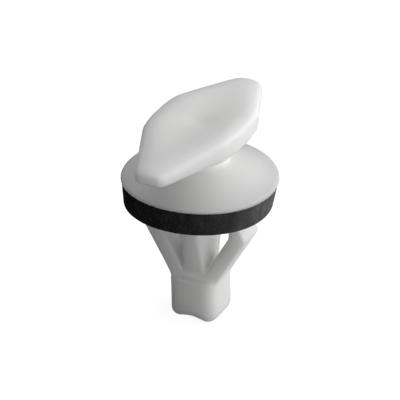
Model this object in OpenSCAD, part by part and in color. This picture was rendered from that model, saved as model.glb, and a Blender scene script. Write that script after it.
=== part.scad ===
// Door panel clip: an oblong head on a round neck, a conical flange over a soft sealing ring,
// and a square nose with two spring legs that snap into a panel hole.
// It stands on its nose, head up. X runs along the head, and the legs spread along Y.

/* [Head] */
// Length of the head, end to end
head_l = 28.2; // [25:0.2:31]
// Width of the head across its bowed sides
head_w = 12.2; // [11.4:0.1:15]
// Thickness of the head in the middle
head_t = 2.8; // [2.8:0.1:4]
// How much lower the top of the head is at its ends
head_crown = 1.1; // [0.3:0.1:1.3]
// Length of the flat at each end of the head
head_end_w = 3.8; // [3:0.1:6]
// Length of the long side between its slanted corners
head_side_l = 9.6; // [8:0.2:13]
// How far each long side bows out past its own ends
head_bow = 0.4; // [0.1:0.05:0.6]
// Radius of the head's upper edges
head_edge = 0.7; // [0.4:0.05:0.8]
// Radius of the head's lower edges
head_foot_edge = 0.4; // [0.25:0.05:0.6]
// Length of the shallow dish in the top of the head
dish_l = 20; // [14:0.5:21]
// Width of that dish
dish_w = 9; // [6:0.2:9.4]
// Depth of that dish
dish_depth = 0.45; // [0.2:0.05:0.8]
// Width of the small round dimple in the middle of the dish
dimple_d = 4.8; // [3:0.2:6]
// Depth of the dimple below the dish
dimple_depth = 0.3; // [0.1:0.05:0.5]

/* [Neck] */
// Diameter of the neck that a keyhole slot takes
neck_d = 6.6; // [5:0.1:8]
// Height from the top of the flange's cone to the head
neck_h = 3; // [2.4:0.1:5]
// Radius of the fillet at the foot of the neck
neck_fillet = 1; // [0.3:0.1:1.2]

/* [Flange] */
// Diameter of the flange
flange_d = 20; // [18:0.2:26]
// Height of the flange's rim
flange_rim = 0.4; // [0.4:0.02:1]
// Radius of the rim's rounded upper edge
flange_edge = 0.5; // [0.2:0.05:0.55]
// Rise of the flange's cone from the rim to the neck
flange_rise = 2.3; // [1.8:0.1:3.5]
// Diameter of the hub under the flange
hub_d = 8.8; // [8.7:0.1:10]
// Height of the hub under the flange
hub_h = 1.2; // [0.6:0.1:2]

/* [Sealing ring] */
// Thickness of the sealing ring
seal_t = 3.25; // [2.25:0.05:5]
// Set-back of the ring's upper edge from the flange's edge
seal_inset = 0.1; // [0.05:0.05:1]
// How far the ring's side leans in towards its lower edge
seal_taper = 0.35; // [0:0.05:1.5]
// Radius of the ring's lower edge
seal_edge = 0.1; // [0.1:0.05:0.6]
// Radial clearance of the ring's bore on the hub
seal_clearance = 0.05; // [0.02:0.01:0.2]

/* [Post] */
// Width of the post at the nose
post_foot_w = 4; // [2.6:0.1:4.8]
// Width of the post from the shoulders up to the flange
post_top_w = 7.4; // [5:0.1:8.2]
// Thickness of the post between the legs
post_t = 2.9; // [1.8:0.1:3]

/* [Legs] */
// Width of each leg
leg_w = 4.3; // [3:0.1:4.8]
// Thickness of each leg, measured level
leg_t = 2.4; // [1.4:0.1:2.6]
// Distance across the two shoulders
leg_spread = 14.8; // [13:0.2:18]
// Rise from the top of the nose to the shoulders
leg_rise = 7.2; // [5:0.2:10]
// Height of each leg's catch above its shoulder
catch_h = 3.0; // [2:0.1:4]
// How far the catch leans in towards its tip
catch_lean = 1.5; // [0.6:0.1:1.6]
// Radius of the rounded shoulder and tip
catch_edge = 0.3; // [0.1:0.05:0.35]
// Gap from the tips to the sealing ring
tip_gap = 0.55; // [0.3:0.05:2]

/* [Nose] */
// Width of the square nose
nose_w = 6.5; // [6:0.1:7]
// Height of the nose up to the legs
nose_h = 5.8; // [4:0.1:8]
// Radius of the nose's upright edges
nose_edge = 1.5; // [0.4:0.1:1.8]
// Radius of the nose's lower edges
nose_tip_edge = 1.1; // [0.3:0.1:1.4]
// Height of the slanted edge around the top of the nose
nose_ledge = 0.3; // [0.2:0.05:1]
// Width of the shallow channel across the foot of the nose
groove_w = 3.4; // [2:0.1:3.6]
// Depth of that channel
groove_depth = 0.5; // [0.1:0.05:0.6]

/* [Hidden] */
$fn = 96;

// Facets of the rounded head's edges
edge_fn = 32;
// Steps in each small round and in the dish's long curve
round_steps = 6;
dish_steps = 12;
// How deep one feature of the moulding runs into the next
root = 0.4;

// Heights of the levels, from the foot of the nose upwards
shoulder_z = nose_h + leg_rise;
tip_z = shoulder_z + catch_h;
seal_z = tip_z + tip_gap;
flange_z = seal_z + seal_t;
rim_z = flange_z + flange_rim;
neck_z = rim_z + flange_rise;
head_z = neck_z + neck_h;
top_z = head_z + head_t;

// Radii about the clip's own axis
flange_r = flange_d / 2;
neck_r = neck_d / 2;
hub_r = hub_d / 2;
seal_r = flange_r - seal_inset;
seal_foot_r = seal_r - seal_taper;
seal_bore_r = hub_r + seal_clearance;

// Slope of the flange's cone, and the centres of the rounds at its rim and at the neck
cone_angle = atan2(flange_rise, flange_r - neck_r);
cone_bend = 1 / cos(cone_angle) - tan(cone_angle);
edge_r = flange_r - flange_edge;
edge_z = rim_z - flange_edge * cone_bend;
fillet_r = neck_r + neck_fillet;
fillet_z = neck_z + neck_fillet * cone_bend;

// Level half sizes of the nose and the legs
nose_half = nose_w / 2;
shoulder_y = leg_spread / 2;
tip_y = shoulder_y - catch_lean;
inner_y = shoulder_y - leg_t;
leg_slope = (shoulder_y - nose_half) / leg_rise;

// Radii of the round cuts that leave a hollow of a given width and depth
function cut_radius(width, depth) = (width * width / 4 + depth * depth) / (2 * depth);
dish_r = cut_radius(dish_w, dish_depth);
dish_long_r = cut_radius(dish_l, dish_depth);
dimple_r = cut_radius(dimple_d, dimple_depth);
groove_r = cut_radius(groove_w, groove_depth);

// Points along a round of radius r about (x, y), from angle a to angle b
function arc(x, y, r, a, b, steps = round_steps) = [
    for (i = [0 : steps])
        let (t = a + (b - a) * i / steps)
        [x + r * cos(t), y + r * sin(t)]
];

// An outline turned half way round its own axis
function turned(points) = [for (p = points) [-p[0], -p[1]]];

// Centres of an edge of radius r round the head, at one end and along one bowed side
function head_end_path(r) =
    let (end_x = head_l / 2 - r, end_y = head_end_w / 2 - r)
    [[end_x, -end_y], [end_x, end_y]];
function head_side_path(r) =
    let (
        half_l = head_side_l / 2 - r,
        bow_r = cut_radius(2 * half_l, head_bow),
        bow_angle = asin(half_l / bow_r)
    )
    arc(0, head_w / 2 - r - bow_r, bow_r, 90 - bow_angle, 90 + bow_angle);

// Long shallow lens that hollows the top of the head
module dish() {
    reach = dish_l / 2 + root;
    lift = dish_r - dish_depth;
    sweep = asin(reach / dish_long_r);
    translate([0, 0, top_z + lift])
        rotate([0, 90, 0])
            rotate_extrude()
                polygon(concat(
                    [[0, -reach]],
                    arc(dish_r - dish_long_r, 0, dish_long_r, -sweep, sweep, dish_steps),
                    [[0, reach]]
                ));
}

module dimple() {
    translate([0, 0, top_z - dish_depth - dimple_depth + dimple_r])
        sphere(r = dimple_r);
}

// Balls of radius r at height z along a half path and its turned copy
module edge_balls(half_path, r, z) {
    for (p = concat(half_path, turned(half_path)))
        translate([p[0], p[1], z])
            sphere(r = r, $fn = edge_fn);
}

module head() {
    foot_z = head_z + head_foot_edge;
    side_z = top_z - head_edge;
    difference() {
        hull() {
            edge_balls(head_end_path(head_foot_edge), head_foot_edge, foot_z);
            edge_balls(head_side_path(head_foot_edge), head_foot_edge, foot_z);
            edge_balls(head_end_path(head_edge), head_edge, side_z - head_crown);
            edge_balls(head_side_path(head_edge), head_edge, side_z);
        }
        dish();
        dimple();
    }
}

// Neck, filleted cone, rim and hub as one turned section
module neck_and_flange() {
    rotate_extrude()
        polygon(concat(
            [[0, flange_z - hub_h], [hub_r, flange_z - hub_h], [hub_r, flange_z], [flange_r, flange_z]],
            arc(edge_r, edge_z, flange_edge, 0, 90 - cone_angle),
            arc(fillet_r, fillet_z, neck_fillet, 270 - cone_angle, 180),
            [[neck_r, head_z + root], [0, head_z + root]]
        ));
}

// Post on the flat top of the nose: it widens up to the shoulders and runs straight on to the flange
module post() {
    foot_z = nose_h + nose_ledge;
    foot_half = post_foot_w / 2;
    top_half = post_top_w / 2;
    rotate([90, 0, 0])
        linear_extrude(height = post_t, center = true)
            polygon([
                [-foot_half, nose_h - root],
                [foot_half, nose_h - root],
                [foot_half, foot_z],
                [top_half, shoulder_z],
                [top_half, flange_z + root / 2],
                [-top_half, flange_z + root / 2],
                [-top_half, shoulder_z],
                [-foot_half, foot_z]
            ]);
}

// One leg: straight out from the nose to its shoulder, then a catch that leans back in
module leg() {
    foot_y = nose_half - leg_t;
    lean_angle = atan2(catch_lean, catch_h);
    leg_angle = atan(leg_slope);
    rotate([90, 0, 90])
        linear_extrude(height = leg_w, center = true)
            polygon(concat(
                [[foot_y, nose_h - root], [nose_half - leg_slope * root, nose_h - root]],
                arc(
                    shoulder_y - catch_edge, shoulder_z, catch_edge,
                    -leg_angle, lean_angle
                ),
                arc(tip_y - catch_edge, tip_z - catch_edge, catch_edge, lean_angle, 90),
                [[inner_y, tip_z], [inner_y, shoulder_z], [foot_y, nose_h]]
            ));
}

// Square nose with rounded edges and a shallow channel across its foot, between the legs
module nose() {
    flat_half = nose_half - nose_edge;
    foot_half = nose_half - nose_tip_edge;
    ledge_half = nose_half - nose_ledge;
    top = nose_h + nose_ledge;
    plan_quarter = arc(flat_half, flat_half, nose_edge, 0, 90);
    side_half = concat(
        arc(foot_half, nose_tip_edge, nose_tip_edge, -90, 0),
        [[nose_half, nose_h], [ledge_half, top]]
    );
    difference() {
        intersection() {
            linear_extrude(height = top)
                polygon([
                    for (turn = [0 : 90 : 270], p = plan_quarter)
                        [p[0] * cos(turn) - p[1] * sin(turn), p[0] * sin(turn) + p[1] * cos(turn)]
                ]);
            intersection_for (turn = [0, 90])
                rotate([90, 0, turn])
                    linear_extrude(height = 2 * nose_w, center = true)
                        polygon(concat(side_half, [
                            for (i = [len(side_half) - 1 : -1 : 0])
                                [-side_half[i][0], side_half[i][1]]
                        ]));
        }
        translate([0, 0, groove_depth - groove_r])
            rotate([0, 90, 0])
                cylinder(r = groove_r, h = 2 * nose_w, center = true);
    }
}

module clip_body() {
    color([0.87, 0.87, 0.85])
        union() {
            head();
            neck_and_flange();
            post();
            for (side = [0, 180])
                rotate([0, 0, side])
                    leg();
            nose();
        }
}

module sealing_ring() {
    color([0.09, 0.09, 0.095])
        rotate_extrude()
            polygon(concat(
                [[seal_bore_r, seal_z]],
                arc(seal_foot_r - seal_edge, seal_z + seal_edge, seal_edge, -90, 0),
                [[seal_r, flange_z], [seal_bore_r, flange_z]]
            ));
}

clip_body();
sealing_ring();
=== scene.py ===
import math

import bpy
import numpy as np
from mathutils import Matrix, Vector


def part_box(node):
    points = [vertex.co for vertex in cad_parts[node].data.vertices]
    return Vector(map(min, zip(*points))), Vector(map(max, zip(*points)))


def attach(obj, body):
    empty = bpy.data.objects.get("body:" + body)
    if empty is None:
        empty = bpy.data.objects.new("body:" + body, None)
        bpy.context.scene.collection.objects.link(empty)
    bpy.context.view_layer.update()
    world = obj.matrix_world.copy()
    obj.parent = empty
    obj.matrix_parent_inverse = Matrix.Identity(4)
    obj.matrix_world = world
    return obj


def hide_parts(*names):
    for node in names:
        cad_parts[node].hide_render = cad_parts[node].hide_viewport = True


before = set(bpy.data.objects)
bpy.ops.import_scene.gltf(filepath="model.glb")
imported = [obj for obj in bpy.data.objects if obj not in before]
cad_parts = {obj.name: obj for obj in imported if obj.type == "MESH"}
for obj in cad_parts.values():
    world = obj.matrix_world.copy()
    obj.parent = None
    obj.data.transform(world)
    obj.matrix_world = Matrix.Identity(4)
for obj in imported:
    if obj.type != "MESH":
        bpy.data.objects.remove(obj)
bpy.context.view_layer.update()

toMetres = 0.001  # shapes are in millimetres, materials and lamps in metres


# Rounded polygon: each corner gives way to an arc that touches both of its sides,
# and the closed line is then cut into equal steps
def roundedLine(corners, radius, count, arcSteps=9):
    corner = np.asarray(corners, float)
    reach = np.broadcast_to(np.asarray(radius, float), len(corner))[:, None]
    back = np.roll(corner, 1, 0) - corner
    ahead = np.roll(corner, -1, 0) - corner
    back /= np.linalg.norm(back, axis=1, keepdims=True)
    ahead /= np.linalg.norm(ahead, axis=1, keepdims=True)
    half = np.arccos((back * ahead).sum(1, keepdims=True)) / 2
    middle = back + ahead
    middle = corner + middle / np.linalg.norm(middle, axis=1, keepdims=True) * reach / np.sin(half)
    start = corner + back * reach / np.tan(half) - middle
    end = corner + ahead * reach / np.tan(half) - middle
    sweep = (math.pi - 2 * half)[:, None]
    step = np.linspace(0, 1, arcSteps)[None, :, None]
    arc = np.sin((1 - step) * sweep) * start[:, None] + np.sin(step * sweep) * end[:, None]
    line = (middle[:, None] + arc / np.sin(sweep)).reshape(-1, 2)
    closed = np.vstack([line, line[:1]])
    run = np.concatenate([[0], np.cumsum(np.linalg.norm(np.diff(closed, axis=0), axis=1))])
    at = np.linspace(0, run[-1], count, endpoint=False)
    return np.stack([np.interp(at, run, closed[:, i]) for i in (0, 1)], 1)


# Outward direction of a closed line that runs anticlockwise: its chord, turned a quarter to the right
def outwardOf(line):
    chord = np.roll(line, -1, 0) - np.roll(line, 1, 0)
    out = np.stack([chord[:, 1], -chord[:, 0]], 1)
    return out / np.linalg.norm(out, axis=1, keepdims=True)


# Plate with rolled edges: the outline is drawn in towards a middle point on both faces, and follows
# a quarter ellipse (inset, drop) round each edge; each face's height is a function of place
def plateRows(line, middle, lowAt, highAt, lowEdge, highEdge, rings=2, edgeSteps=12):
    out = outwardOf(line)
    quarter = np.linspace(0, math.pi / 2, edgeSteps)
    share = np.linspace(0, 1, rings + 1)[1:-1]
    lowLine, highLine = line - lowEdge[0] * out, line - highEdge[0] * out
    lowCap = middle + share[:, None, None] * (lowLine - middle)
    highCap = middle + share[::-1, None, None] * (highLine - middle)
    lowTurn = line - lowEdge[0] * (1 - np.sin(quarter))[:, None, None] * out
    highTurn = line - highEdge[0] * (1 - np.cos(quarter))[:, None, None] * out
    flat = np.concatenate([lowCap, lowTurn, highTurn, highCap])
    lowRise = np.concatenate([share * 0, lowEdge[1] * (1 - np.cos(quarter))])[:, None]
    highDrop = np.concatenate([highEdge[1] * (1 - np.sin(quarter)), share * 0])[:, None]
    lows, highs = np.split(flat, [len(lowRise)])
    height = np.concatenate([
        lowAt(lows[..., 0], lows[..., 1]) + lowRise,
        highAt(highs[..., 0], highs[..., 1]) - highDrop,
    ])
    return np.concatenate([flat, height[..., None]], 2)


# Surface of revolution: each point of the profile (radius, height) becomes a ring
def turnedRows(profile, around):
    angle = np.linspace(0, 2 * math.pi, around, endpoint=False)
    radius, height = np.asarray(profile, float).T
    return np.stack([
        radius[:, None] * np.cos(angle),
        radius[:, None] * np.sin(angle),
        np.repeat(height[:, None], around, 1),
    ], 2)


# Loft of rounded oblongs: at each height, half sizes a and b and a power n give the ring
# x = a cos^(2/n), y = b sin^(2/n), each with its own sign
def oblongRows(height, a, b, power, around):
    angle = np.linspace(0, 2 * math.pi, around, endpoint=False)
    a, b, power = (np.broadcast_to(v, height.shape)[:, None] for v in (a, b, power))
    across, along = np.cos(angle), np.sin(angle)
    return np.stack([
        a * np.sign(across) * np.abs(across) ** (2 / power),
        b * np.sign(along) * np.abs(along) ** (2 / power),
        np.repeat(height[:, None], around, 1),
    ], 2)


# Closes stacked rings into a skin: two triangles between neighbours, and a fan to a pole at each end
def closeSkin(rows):
    levels, around = rows.shape[:2]
    index = np.arange(levels * around).reshape(levels, around)
    beside = np.roll(index, -1, 1)
    foot, top = levels * around, levels * around + 1
    faces = np.concatenate([
        np.stack([index[:-1], beside[:-1], beside[1:]], 2).reshape(-1, 3),
        np.stack([index[:-1], beside[1:], index[1:]], 2).reshape(-1, 3),
        np.stack([np.full(around, foot), beside[0], index[0]], 1),
        np.stack([np.full(around, top), index[-1], beside[-1]], 1),
    ])
    points = np.concatenate([rows.reshape(-1, 3), rows[0].mean(0)[None], rows[-1].mean(0)[None]])
    return points, faces


# Quarter or other arc of a profile about (x, y), angles in degrees
def arcPoints(x, y, radius, start, end, steps=10):
    angle = np.radians(np.linspace(start, end, steps))
    return np.stack([x + radius * np.cos(angle), y + radius * np.sin(angle)], 1)


# One mesh from several skins, in metres or in the millimetres they are drawn in
def meshOf(name, skins, scale):
    offsets = np.cumsum([0] + [len(skin[0]) for skin in skins[:-1]])
    points = np.concatenate([skin[0] for skin in skins]) * scale
    faces = np.concatenate([skin[1] + offset for skin, offset in zip(skins, offsets)])
    mesh = bpy.data.meshes.new(name)
    mesh.from_pydata(points.tolist(), [], faces.tolist())
    mesh.update()
    return mesh


# Welds overlapping skins into one moulded skin with soft inner corners: a voxel remesh, then smoothing;
# the flange then settles
def weldSkins(name, skins, voxel, easeRounds, easeShare):
    draft = bpy.data.objects.new(name + "_draft", meshOf(name + "_draft", skins, 1))
    bpy.context.scene.collection.objects.link(draft)
    weld = draft.modifiers.new("weld", "REMESH")
    weld.mode = "VOXEL"
    weld.voxel_size = voxel
    ease = draft.modifiers.new("ease", "SMOOTH")
    ease.factor = easeShare
    ease.iterations = easeRounds
    graph = bpy.context.evaluated_depsgraph_get()
    mesh = bpy.data.meshes.new_from_object(draft.evaluated_get(graph))
    bpy.data.objects.remove(draft)
    mesh.name = name
    points = np.empty(3 * len(mesh.vertices))
    mesh.vertices.foreach_get("co", points)
    points = points.reshape(-1, 3)
    height = points[:, 2]
    share = np.clip(height - flange["settleFrom"], 0, 1) * np.clip(flange["settleTo"] - height, 0, 1)
    points = settlePoints(points, flange, share) * toMetres
    mesh.vertices.foreach_set("co", points.ravel())
    mesh.update()
    return mesh


def addPiece(name, mesh, node, material):
    mesh.shade_smooth()
    mesh.materials.clear()
    mesh.materials.append(material)
    piece = bpy.data.objects.new(name, mesh)
    bpy.context.scene.collection.objects.link(piece)
    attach(piece, "root")
    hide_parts(node)
    print("clip:", name, len(mesh.polygons), "faces")
    return piece


# One output of a node: sums and products of values add Math nodes to its tree
class Wire:
    def __init__(self, tree, socket=None):
        self.tree = tree
        self.socket = socket

    # any node, from its type, its settings and the values or links of its sockets
    def node(self, kind, settings=None, sockets=None, out=0):
        made = self.tree.nodes.new(kind)
        for key, value in (settings or {}).items():
            setattr(made, key, value)
        for key, value in (sockets or {}).items():
            if isinstance(value, Wire):
                self.tree.links.new(value.socket, made.inputs[key])
            else:
                made.inputs[key].default_value = value
        return Wire(self.tree, made.outputs[out] if made.outputs else None)

    def reckon(self, operation, first, second):
        return self.node("ShaderNodeMath", {"operation": operation}, {0: first, 1: second})

    def __add__(self, other):
        return self.reckon("ADD", self, other)

    def __radd__(self, other):
        return self.reckon("ADD", other, self)

    def __sub__(self, other):
        return self.reckon("SUBTRACT", self, other)

    def __rsub__(self, other):
        return self.reckon("SUBTRACT", other, self)

    def __mul__(self, other):
        return self.reckon("MULTIPLY", self, other)

    def __rmul__(self, other):
        return self.reckon("MULTIPLY", other, self)


def startMaterial(name):
    material = bpy.data.materials.new(name)
    material.use_nodes = True
    material.node_tree.nodes.clear()
    return material, Wire(material.node_tree)


# Milky moulded nylon: a faint cloudiness in the resin, a fine spark-eroded grain and a soft, uneven gloss
nylon = {
    "pale": (0.92, 0.92, 0.905, 1),
    "milky": (0.87, 0.875, 0.865, 1),
    "cloudScale": 210,
    "grainScale": 5200,
    "roughness": 0.46,
    "roughCloud": 0.10,
    "roughGrain": 0.10,
    "grainDepth": 0.000012,
    "ior": 1.5,
    "lightReach": 0.003,  # metres that light spreads inside the resin
}


def makeNylon(s):
    material, wire = startMaterial("nylonMoulding")
    place = wire.node("ShaderNodeTexCoord", out="Object")
    cloud = wire.node("ShaderNodeTexNoise", {}, {"Vector": place, "Scale": s["cloudScale"], "Detail": 4})
    grain = wire.node("ShaderNodeTexNoise", {}, {"Vector": place, "Scale": s["grainScale"], "Detail": 2})
    tone = wire.node("ShaderNodeMix", {"data_type": "RGBA"}, {0: cloud, 6: s["pale"], 7: s["milky"]}, out=2)
    rough = s["roughness"] + cloud * s["roughCloud"] + grain * s["roughGrain"]
    bump = wire.node(
        "ShaderNodeBump", {}, {"Strength": 1, "Distance": s["grainDepth"], "Height": grain}, out="Normal"
    )
    shader = wire.node("ShaderNodeBsdfPrincipled", {}, {
        "Base Color": tone,
        "Roughness": rough,
        "Normal": bump,
        "IOR": s["ior"],
        "Subsurface Weight": 1.0,
        "Subsurface Radius": (1, 1, 1),
        "Subsurface Scale": s["lightReach"],
    })
    wire.node("ShaderNodeOutputMaterial", {}, {"Surface": shader})
    return material


# Black foam rubber: small closed cells, drawn out along the cut edge, with pale dust in a few of them;
# one side has painted light: its tone grows paler towards where the lamps light the ring, broken up by the
# dust noise
foam = {
    "deep": (0.013, 0.013, 0.0135, 1),
    "worn": (0.055, 0.055, 0.057, 1),
    # painted light: the paler tone painted on the side of the ring that the lamps light
    "paintedLitTone": (0.19, 0.19, 0.193, 1),
    "paintedLightTowards": (22.3, -43.7, 0),
    "paintedLightStart": 0.36,
    "paintedLightDust": 0.26,
    "cellScale": 3600,
    "streak": (1, 1, 0.45),
    "dustScale": 900,
    "roughness": 0.80,
    "roughCell": 0.12,
    "cellDepth": 0.00006,
}


def makeFoam(s):
    material, wire = startMaterial("foamRubber")
    place = wire.node("ShaderNodeTexCoord", out="Object")
    drawn = wire.node("ShaderNodeMapping", {}, {"Vector": place, "Scale": s["streak"]})
    cell = wire.node("ShaderNodeTexVoronoi", {}, {"Vector": drawn, "Scale": s["cellScale"]}, out="Distance")
    dust = wire.node("ShaderNodeTexNoise", {}, {"Vector": drawn, "Scale": s["dustScale"], "Detail": 5})
    # painted light: the tone grows paler along one direction across the ring, as if lit from that side,
    # with dust noise mixed in
    along = wire.node(
        "ShaderNodeVectorMath", {"operation": "DOT_PRODUCT"}, {0: place, 1: s["paintedLightTowards"]}, out="Value"
    )
    paintedLight = along + s["paintedLightStart"] + dust * s["paintedLightDust"]
    paintedLight = paintedLight * paintedLight
    share = cell * dust
    tone = wire.node("ShaderNodeMix", {"data_type": "RGBA"}, {0: share, 6: s["deep"], 7: s["worn"]}, out=2)
    tone = wire.node("ShaderNodeMix", {"data_type": "RGBA"}, {0: paintedLight * paintedLight, 6: tone, 7: s["paintedLitTone"]}, out=2)
    rough = s["roughness"] + cell * s["roughCell"]
    bump = wire.node(
        "ShaderNodeBump", {}, {"Strength": 1, "Distance": s["cellDepth"], "Height": cell}, out="Normal"
    )
    shader = wire.node("ShaderNodeBsdfPrincipled", {}, {
        "Base Color": tone,
        "Roughness": rough,
        "Normal": bump,
        "Specular IOR Level": 0.0,
    })
    wire.node("ShaderNodeOutputMaterial", {}, {"Surface": shader})
    return material


nylonMaterial = makeNylon(nylon)
foamMaterial = makeFoam(foam)
print("clip: materials made")

# Levels that the pieces share, read from the solids
sealFoot, sealTop = (corner.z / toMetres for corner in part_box("sealing_ring"))
topRoom = 0.02  # keeps the softened head inside the solids' box
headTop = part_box("clip_body")[1].z / toMetres - topRoom

# Oblong head with slanted corners, a top that falls off to its ends and sides,
# and a soft dish with a dimple
head = {
    "length": 28.1,
    "width": 12.2,
    "thick": 2.8,
    "endWidth": 3.65,
    "sideLength": 9.2,
    "bow": 0.42,
    "cornerRound": (1.2, 1.3, 6.0),
    "lowerEdge": (0.3, 0.3),
    "upperEdge": (0.6, 0.55),
    "crown": 1.1,
    "crownStart": 3.0,
    "crownPower": 1.3,
    "sideFall": 0.3,
    "sideRun": 2.4,
    "dishLength": 21,
    "dishWidth": 10.0,
    "dishDepth": 0.5,
    "dimpleWidth": 5.0,
    "dimpleDepth": 0.25,
    "tilt": 0.2,
    "shift": -0.1,
    "around": 420,
    "rings": 60,
}


# The top falls off as a power of the distance past a start along the head, and as a square within
# a run of the sides; two bowls of the form (1 - q)^2 are taken out, where q is the squared distance
# from the middle in half lengths and half widths
def headTopAt(x, y, s):
    endX, endY = s["length"] / 2, s["endWidth"] / 2
    sideX, sideY = s["sideLength"] / 2, s["width"] / 2
    slant = np.array([sideY - s["bow"] - endY, endX - sideX])
    slant /= np.linalg.norm(slant)
    past = np.clip(np.abs(x) - s["crownStart"], 0, None) / (endX - s["crownStart"])
    inside = np.minimum((endX - np.abs(x)) * slant[0] + (endY - np.abs(y)) * slant[1], sideY - np.abs(y))
    side = np.clip(1 - inside / s["sideRun"], 0, 1)
    dish = np.clip(1 - (2 * x / s["dishLength"]) ** 2 - (2 * y / s["dishWidth"]) ** 2, 0, 1)
    dimple = np.clip(1 - (x ** 2 + y ** 2) / (s["dimpleWidth"] / 2) ** 2, 0, 1)
    fall = s["crown"] * past ** s["crownPower"] + s["sideFall"] * side ** 2
    return headTop - fall - s["dishDepth"] * dish ** 2 - s["dimpleDepth"] * dimple ** 2


# Plate between a level foot and the top; the whole head then tilts a little along its length,
# and sits a little to one side
def makeHead(s):
    endX, endY = s["length"] / 2, s["endWidth"] / 2
    sideX, sideY = s["sideLength"] / 2, s["width"] / 2
    quarter = [(endX, endY), (sideX, sideY - s["bow"]), (sideX / 3, sideY)]
    corners = np.array(quarter + [(-x, y) for x, y in quarter[::-1]])
    corners = np.vstack([corners, -corners])
    radius = np.tile(s["cornerRound"] + s["cornerRound"][::-1], 2)
    line = roundedLine(corners, radius, s["around"])
    foot = headTop - s["thick"]
    rows = plateRows(
        line, np.zeros(2), lambda x, y: foot + 0 * x, lambda x, y: headTopAt(x, y, s),
        s["lowerEdge"], s["upperEdge"], s["rings"],
    )
    rows[..., 2] += s["tilt"] * rows[..., 0] / endX
    rows[..., 1] += s["shift"]
    return closeSkin(rows)


# Neck, filleted cone, hub, and a thin rim with a rounded edge
flange = {
    "neckRadius": 3.3,
    "neckTop": headTop - 1.6,  # ends inside the head
    "headFillet": 0.5,
    "coneFillet": 1.1,
    "coneTop": 22.5,
    "radius": 10.0,
    "rim": 0.38,
    "rimEdge": 0.52,
    "rimFootInset": 0.02,
    "hubRadius": 4.4,
    "hubDrop": 1.2,
    "poleRadius": 0.01,
    "droop": 0.25,
    "lift": 0.16,
    "settleFrom": 17.4,
    "settleTo": 24.4,
    "around": 360,
}


# The flange and the ring under it droop a little over the legs, by the square of y, and lift a little
# at one side, by the square of -x there; a share fades this out above and below them
def settlePoints(points, s, share=1):
    x, y = points[..., 0] / s["radius"], points[..., 1] / s["radius"]
    points[..., 2] += share * (s["lift"] * np.clip(-x, 0, None) ** 2 - s["droop"] * y ** 2)
    return points


# Turned profile: hub, flat underside, rounded rim, cone, its fillet into the neck, and a fillet
# out under the head; each arc touches the lines on both sides of it
def makeFlange(s):
    rim = sealTop + s["rim"]
    slope = math.atan2(s["coneTop"] - rim, s["radius"] - s["neckRadius"])
    bend = 1 / math.cos(slope) - math.tan(slope)
    edgeX, edgeZ = s["radius"] - s["rimEdge"], rim - s["rimEdge"] * bend
    filletX, filletZ = s["neckRadius"] + s["coneFillet"], s["coneTop"] + s["coneFillet"] * bend
    headFoot = headTop - head["thick"]
    underX, underZ = s["neckRadius"] + s["headFillet"], headFoot - s["headFillet"]
    turn = math.degrees(slope)
    hubFoot = sealTop - s["hubDrop"]
    profile = np.vstack([
        [(s["poleRadius"], hubFoot), (s["hubRadius"], hubFoot), (s["hubRadius"], sealTop)],
        [(s["radius"] - s["rimFootInset"], sealTop)],
        arcPoints(edgeX, edgeZ, s["rimEdge"], 0, 90 - turn),
        arcPoints(filletX, filletZ, s["coneFillet"], 270 - turn, 180),
        arcPoints(underX, underZ, s["headFillet"], 180, 90),
        [(underX, s["neckTop"]), (s["poleRadius"], s["neckTop"])],
    ])
    return closeSkin(turnedRows(profile, s["around"]))


# Post: an oblong that widens up to the shoulders, and flares out into the nose
post = {
    "footZ": 5.0,
    "flareZ": 6.1,
    "shoulderZ": 13.0,
    "footHalf": 2.0,
    "topHalf": 3.7,
    "thickHalf": 1.5,
    "sink": 0.15,  # how far its top goes into the flange
    "flare": 0.4,
    "flareRun": 0.4,
    "power": 10,
    "around": 240,
    "levels": 60,
}


# The half width climbs in a straight line to the shoulders, and an exponential flare is added near the foot
def makePost(s):
    height = np.linspace(s["footZ"], sealTop + s["sink"], s["levels"])
    climb = np.clip((height - s["flareZ"]) / (s["shoulderZ"] - s["flareZ"]), 0, 1)
    flare = s["flare"] * np.exp(-np.clip(height - s["flareZ"], 0, None) / s["flareRun"])
    half = s["footHalf"] + (s["topHalf"] - s["footHalf"]) * climb
    return closeSkin(oblongRows(height, half + flare, s["thickHalf"] + flare, s["power"], s["around"]))


# Spring leg: a bent side profile, carried across the leg's width
leg = {
    "width": 4.3,
    "thick": 2.4,
    "noseHalf": 3.25,
    "footZ": 5.0,
    "rootZ": 5.8,
    "shoulderY": 7.4,
    "shoulderZ": 13.0,
    "tipY": 5.9,
    "tipZ": 16.0,
    "edge": (0.3, 0.3),
    "cornerRound": (0.3, 0.3, 0.5, 0.22, 0.22, 0.8),
    "kernelIn": 0.3,  # a place that sees the whole profile, where both sides close
    "kernelDrop": 0.1,
    "flare": 0.08,
    "flareRun": 1.2,
    "around": 260,
}


# The bent profile (y, z) is a plate across x, a little wider at its root by an exponential flare;
# the other leg is the same one turned half round
def makeLeg(s, side):
    slope = (s["shoulderY"] - s["noseHalf"]) / (s["shoulderZ"] - s["rootZ"])
    drop = slope * (s["rootZ"] - s["footZ"])
    innerY = s["shoulderY"] - s["thick"]
    corners = [
        (s["noseHalf"] - s["thick"] - drop, s["footZ"]),
        (s["noseHalf"] - drop, s["footZ"]),
        (s["shoulderY"], s["shoulderZ"]),
        (s["tipY"], s["tipZ"]),
        (innerY, s["tipZ"]),
        (innerY, s["shoulderZ"]),
    ]
    line = roundedLine(corners, s["cornerRound"], s["around"])
    kernel = np.array([innerY + s["kernelIn"], s["shoulderZ"] - s["kernelDrop"]])
    half = s["width"] / 2
    rows = plateRows(
        line, kernel, lambda y, z: -half + 0 * y, lambda y, z: half + 0 * y, s["edge"], s["edge"]
    )
    y, z, x = np.moveaxis(rows, 2, 0)
    x = x * (1 + s["flare"] * np.exp(-np.clip(z - s["rootZ"], 0, None) / s["flareRun"]))
    return closeSkin(np.stack([side * x, side * y, z], 2))


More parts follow.
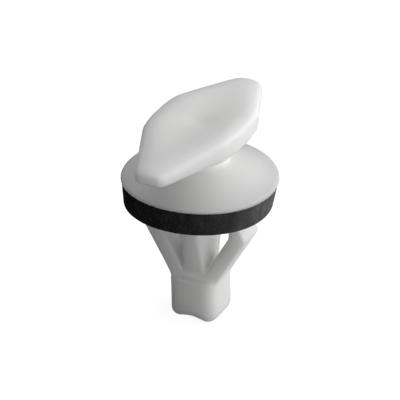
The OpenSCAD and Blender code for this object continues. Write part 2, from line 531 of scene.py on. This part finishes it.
# Square nose: rounded lower edges, a flat top with a soft edge, and a shallow channel across its foot
nose = {
    "half": 3.25,
    "height": 6.05,
    "topEdge": 0.3,
    "tipEdge": 1.15,
    "power": 4.6,
    "channelHalf": 2.2,
    "channelDepth": 0.5,
    "channelFade": 2.6,
    "channelPower": 1.5,
    "poleHalf": 0.02,
    "around": 360,
    "edgeSteps": 14,
    "wallSteps": 20,
    "footSteps": 12,
}


# Loft of oblongs across the foot, round its edge, up the wall and round the top edge; the channel lifts the
# foot by a round hump across y, which fades out up the wall
def makeNose(s):
    turn = np.linspace(0, math.pi / 2, s["edgeSteps"])
    top = s["height"] - s["topEdge"]
    wall = np.linspace(s["tipEdge"], top, s["wallSteps"])[1:-1]
    foot = np.linspace(s["poleHalf"], s["half"] - s["tipEdge"], s["footSteps"])[:-1]
    height = np.concatenate([
        0 * foot, s["tipEdge"] * (1 - np.cos(turn)), wall, top + s["topEdge"] * np.sin(turn),
    ])
    half = np.concatenate([
        foot, s["half"] - s["tipEdge"] * (1 - np.sin(turn)), 0 * wall + s["half"],
        s["half"] - s["topEdge"] * (1 - np.cos(turn)),
    ])
    x, y, z = np.moveaxis(oblongRows(height, half, half, s["power"], s["around"]), 2, 0)
    hump = np.clip(1 - (y / s["channelHalf"]) ** 2, 0, 1) ** s["channelPower"]
    z = z + s["channelDepth"] * hump * np.clip(1 - z / s["channelFade"], 0, 1)
    return closeSkin(np.stack([x, y, z], 2))


# What hangs below the flange stands a little to one side and leans to the other,
# by its depth under the flange as a share of the whole
def leanSkin(skin, shift, lean):
    points, faces = skin
    depth = np.clip(1 - points[:, 2:] / sealTop, 0, 1)
    return np.hstack([points[:, :2] + np.array(shift) + depth * np.array(lean), points[:, 2:]]), faces


# The moulding: all its skins welded into one
body = {
    "shift": (-0.068, 0.134),
    "lean": (0.154, -0.303),
    "postShift": (0.078, -0.154),
    "voxel": 0.16,
    "easeRounds": 7,
    "easeShare": 0.5,
}
lower = [makeLeg(leg, 1), makeLeg(leg, -1), makeNose(nose)]
skins = [makeHead(head), makeFlange(flange), leanSkin(makePost(post), body["postShift"], (0, 0))]
skins += [leanSkin(skin, body["shift"], body["lean"]) for skin in lower]
bodyMesh = weldSkins("clipBody", skins, body["voxel"], body["easeRounds"], body["easeShare"])
addPiece("clipBody", bodyMesh, "clip_body", nylonMaterial)

# Sealing ring: a thick soft washer whose cut side leans in a little
seal = {
    "topRadius": 9.85,
    "footRadius": 9.45,
    "boreRadius": 4.45,
    "lowerEdge": 0.12,
    "upperEdge": 0.1,
    "lean": (-0.09, 0.18),
    "around": 720,
    "sideSteps": 36,
}


# The ring's section (radius, height) is carried once round the axis and closes on itself;
# the foot then leans to one side, by its share of the depth
def makeSeal(s):
    side = np.linspace(0, 1, s["sideSteps"])[:, None]
    low = arcPoints(s["footRadius"] - s["lowerEdge"], sealFoot + s["lowerEdge"], s["lowerEdge"], -90, 0)
    high = arcPoints(s["topRadius"] - s["upperEdge"], sealTop - s["upperEdge"], s["upperEdge"], 0, 90)
    bore = np.array([(s["boreRadius"], sealTop), (s["boreRadius"], sealFoot)])
    section = np.vstack([low, low[-1] + side[1:-1] * (high[0] - low[-1]), high, bore])
    rows = turnedRows(section, s["around"])
    below = (sealTop - rows[..., 2:]) / (sealTop - sealFoot)
    rows[..., :2] += below * np.array(s["lean"])
    rows = settlePoints(rows, flange)
    levels, around = rows.shape[:2]
    index = np.arange(levels * around).reshape(levels, around)
    beside, above = np.roll(index, -1, 1), np.roll(index, -1, 0)
    corner = np.roll(above, -1, 1)
    faces = np.concatenate([
        np.stack([index, beside, corner], 2).reshape(-1, 3),
        np.stack([index, corner, above], 2).reshape(-1, 3),
    ])
    return rows.reshape(-1, 3), faces


sealMesh = meshOf("sealingRing", [makeSeal(seal)], toMetres)
addPiece("sealingRing", sealMesh, "sealing_ring", foamMaterial)

# Floor: a pale sheet that the camera sees as white, and that keeps the shadow
floor = {"half": 3.0, "tone": (0.40, 0.40, 0.40, 1), "lift": 0.88}


# One for the rays that see the background: the camera's, mirrored ones and those through glass
def seenOf(wire):
    path = wire.node("ShaderNodeLightPath", out="Is Camera Ray")
    other = path.socket.node.outputs
    return path + Wire(wire.tree, other["Is Glossy Ray"]) + Wire(wire.tree, other["Is Transmission Ray"])


def makeFloor(s):
    material, wire = startMaterial("paleFloor")
    seen = seenOf(wire)
    matt = wire.node("ShaderNodeBsdfDiffuse", {}, {"Color": s["tone"]})
    glow = wire.node("ShaderNodeEmission", {}, {"Color": (1, 1, 1, 1), "Strength": seen * s["lift"]})
    both = wire.node("ShaderNodeAddShader", {}, {0: matt, 1: glow})
    wire.node("ShaderNodeOutputMaterial", {}, {"Surface": both})
    h = s["half"]
    mesh = bpy.data.meshes.new("floor")
    mesh.from_pydata([(-h, -h, 0), (h, -h, 0), (h, h, 0), (-h, h, 0)], [], [(0, 1, 2, 3)])
    mesh.materials.append(material)
    sheet = bpy.data.objects.new("floor", mesh)
    bpy.context.scene.collection.objects.link(sheet)


makeFloor(floor)

# Soft light: panels low on the right and behind it, a higher one between them, one overhead,
# and two faint ones that open up the left side
lamps = {
    "key": {"towards": (-0.42, -0.90, 0.10), "distance": 0.5, "size": 0.5, "power": 1.43},
    "high": {"towards": (0.40, -0.80, 0.45), "distance": 0.5, "size": 0.4, "power": 0.66},
    "back": {"towards": (0.85, -0.52, 0.10), "distance": 0.5, "size": 0.5, "power": 1.72},
    "top": {"towards": (0.0, 0.0, 1.0), "distance": 0.5, "size": 0.55, "power": 0.83},
    "topLeft": {"towards": (-0.2, 0.65, 0.75), "distance": 0.5, "size": 0.6, "power": 0.22},
    "front": {"towards": (-0.60, -0.35, 0.75), "distance": 0.5, "size": 0.5, "power": 0.06},
}
surround = {"tone": (1, 1, 1, 1), "lift": 1.0}


def addLamp(name, s):
    light = bpy.data.lights.new(name, "AREA")
    light.shape = "DISK"
    light.size = s["size"]
    light.energy = s["power"]
    lamp = bpy.data.objects.new(name, light)
    away = Vector(s["towards"]).normalized()
    aim = Vector((0, 0, sealTop * toMetres))
    lamp.location = aim + away * s["distance"]
    lamp.rotation_euler = away.to_track_quat("Z", "Y").to_euler()
    bpy.context.scene.collection.objects.link(lamp)


for lampName, lampSettings in lamps.items():
    addLamp(lampName, lampSettings)

world = bpy.data.worlds.new("surround")
bpy.context.scene.world = world
world.use_nodes = True
world.node_tree.nodes.clear()
sky = Wire(world.node_tree)
seenSky = seenOf(sky) * surround["lift"]
glowSky = sky.node("ShaderNodeBackground", {}, {"Color": surround["tone"], "Strength": seenSky})
sky.node("ShaderNodeOutputWorld", {}, {"Surface": glowSky})
print("clip: floor and lamps set")

# Camera at the photograph's angle; the flange's middle lies on the axis, above the frame's centre
camera = {
    "azimuth": -63.0,
    "elevation": 29.5,
    "aimZ": 16.33,
    "distance": 302.3,
    "lens": 216,
    "sensor": 36,
    "clip": (0.01, 20),
}


def addCamera(s):
    turn, tilt = math.radians(s["azimuth"]), math.radians(s["elevation"])
    away = Vector((math.sin(turn) * math.cos(tilt), -math.cos(turn) * math.cos(tilt), math.sin(tilt)))
    data = bpy.data.cameras.new("camera")
    data.lens, data.sensor_width = s["lens"], s["sensor"]
    data.clip_start, data.clip_end = s["clip"]
    eye = bpy.data.objects.new("camera", data)
    eye.location = Vector((0, 0, s["aimZ"] * toMetres)) + away * s["distance"] * toMetres
    eye.rotation_euler = away.to_track_quat("Z", "Y").to_euler()
    bpy.context.scene.collection.objects.link(eye)
    bpy.context.scene.camera = eye


addCamera(camera)
bpy.context.scene.view_settings.view_transform = "Standard"
